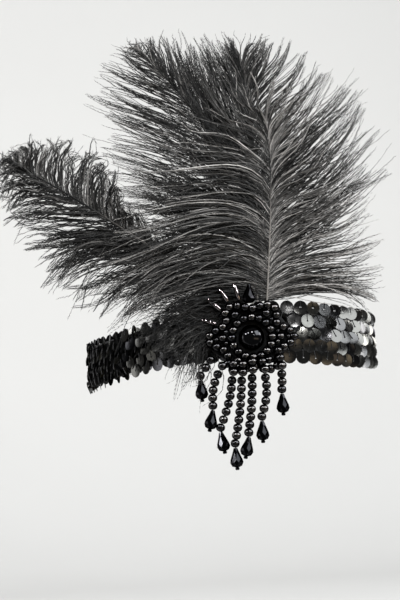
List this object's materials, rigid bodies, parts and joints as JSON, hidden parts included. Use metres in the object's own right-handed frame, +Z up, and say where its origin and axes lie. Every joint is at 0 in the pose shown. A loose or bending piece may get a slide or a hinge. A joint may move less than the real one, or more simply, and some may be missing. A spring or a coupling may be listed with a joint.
{
  "type": "flapper headband",
  "caption": "Sequined stretch headband with a beaded medallion over the brow, hanging bead strands ending in faceted drops, and black ostrich plumes fanned behind the medallion.",
  "frame": {"origin": "centre of the head opening, level with the middle of the band's front", "axes": "+Z up as worn, front of the band and medallion face -Y, +X to the viewer's right"},
  "size_m": [0.211, 0.2123, 0.2303],
  "materials": {
    "sequin": "glossy black sequins",
    "felt": "black felt",
    "pearl_bead": "gunmetal pearl gloss",
    "black_glass": "polished jet black",
    "feather": "soft black feather"
  },
  "bodies": {
    "root": {"sequin_band": "sequin", "medallion_base": "felt", "centre_cabochon": "black_glass", "inner_bead_ring": "pearl_bead", "petal_bead_ring": "pearl_bead", "top_drop": "black_glass", "plume_front": "feather", "plume_tall": "feather", "plume_sweep": "feather", "plume_side": "feather", "bugle_spike_1": "black_glass", "bugle_spike_2": "black_glass", "bugle_spike_3": "black_glass", "bugle_spike_4": "black_glass", "strand_1": "pearl_bead", "drop_1": "black_glass", "strand_2": "pearl_bead", "drop_2": "black_glass", "strand_3": "pearl_bead", "drop_3": "black_glass", "strand_4": "pearl_bead", "drop_4": "black_glass", "strand_5": "pearl_bead", "drop_5": "black_glass", "strand_6": "pearl_bead", "drop_6": "black_glass", "strand_7": "pearl_bead", "drop_7": "black_glass"}
  },
  "joints": []
}
